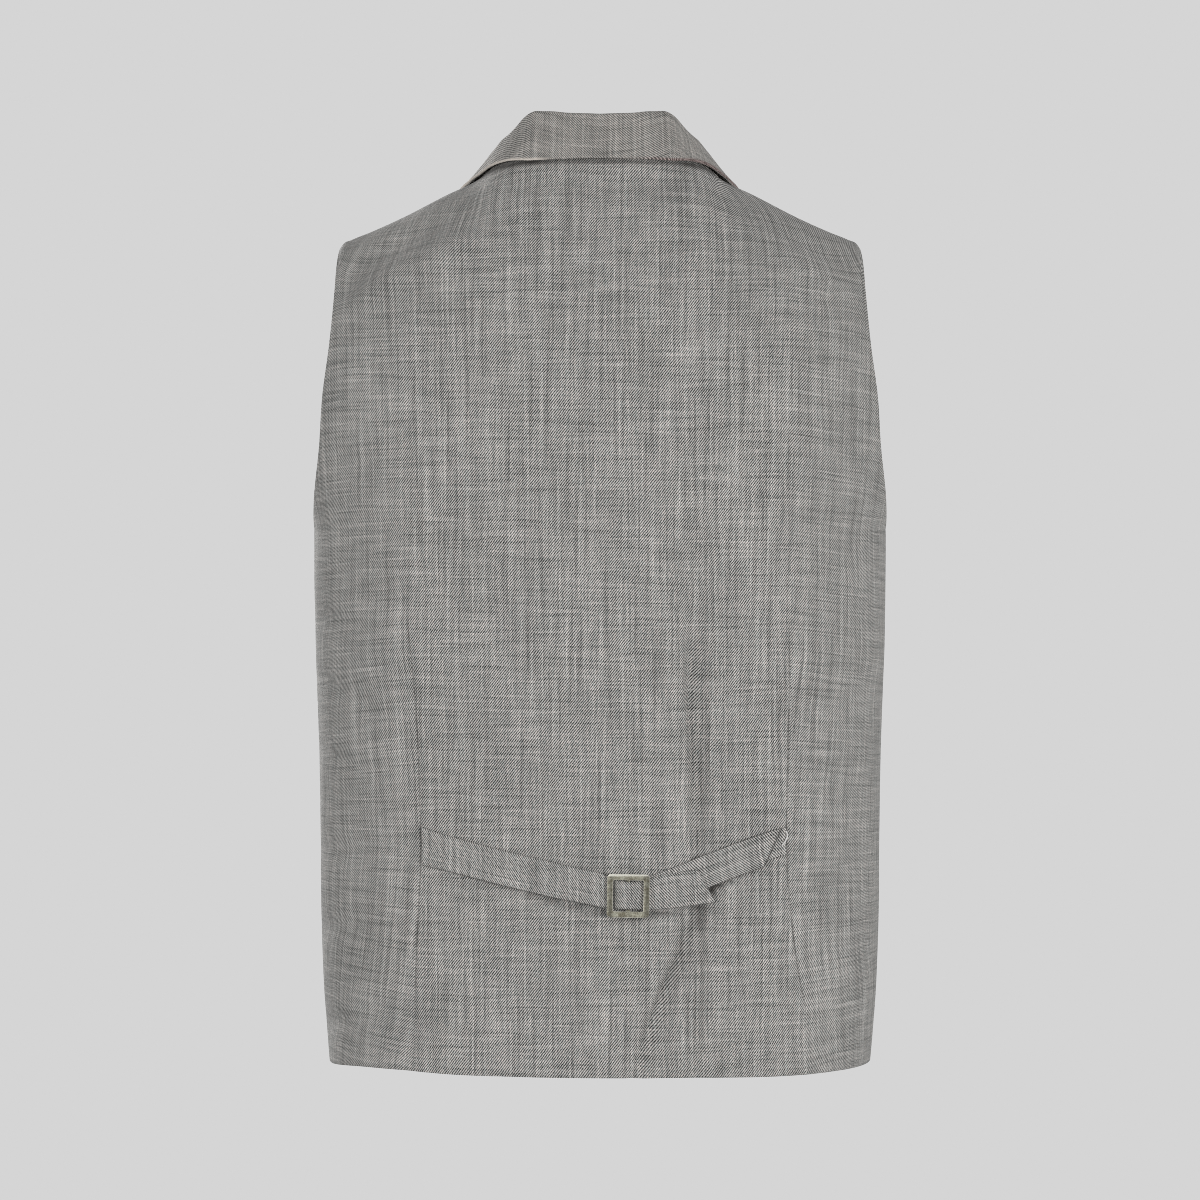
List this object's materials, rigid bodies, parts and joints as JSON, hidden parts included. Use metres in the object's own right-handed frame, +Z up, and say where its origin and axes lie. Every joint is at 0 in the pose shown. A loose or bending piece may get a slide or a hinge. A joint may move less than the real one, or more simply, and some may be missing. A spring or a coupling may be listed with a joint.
{
  "type": "suit waistcoat",
  "caption": "Hollow filled-out suit waistcoat in grey twill with notched collar, buttoned front, two-dart back and a cinch strap with a metal slide buckle.",
  "frame": {"origin": "the nape: centre back of the neck seam, where the wearer holds the garment up", "axes": "+Z up, +Y out of the back, -Y out of the front, +X to the wearer's left"},
  "size_m": [0.3738, 0.2406, 0.6341],
  "materials": {
    "cloth": "mid grey wool-blend twill with a slubbed yarn",
    "buckle_metal": "aged nickel plate, brushed",
    "button_horn": "dark horn-effect, satin"
  },
  "bodies": {
    "root": {"back": "cloth", "front_left": "cloth", "front_right": "cloth", "collar": "cloth", "lapel_left": "cloth", "lapel_right": "cloth", "strap_left": "cloth", "strap_right": "cloth", "buckle": "buckle_metal", "button_1": "button_horn", "button_2": "button_horn", "button_3": "button_horn", "button_4": "button_horn", "button_5": "button_horn"}
  },
  "joints": []
}
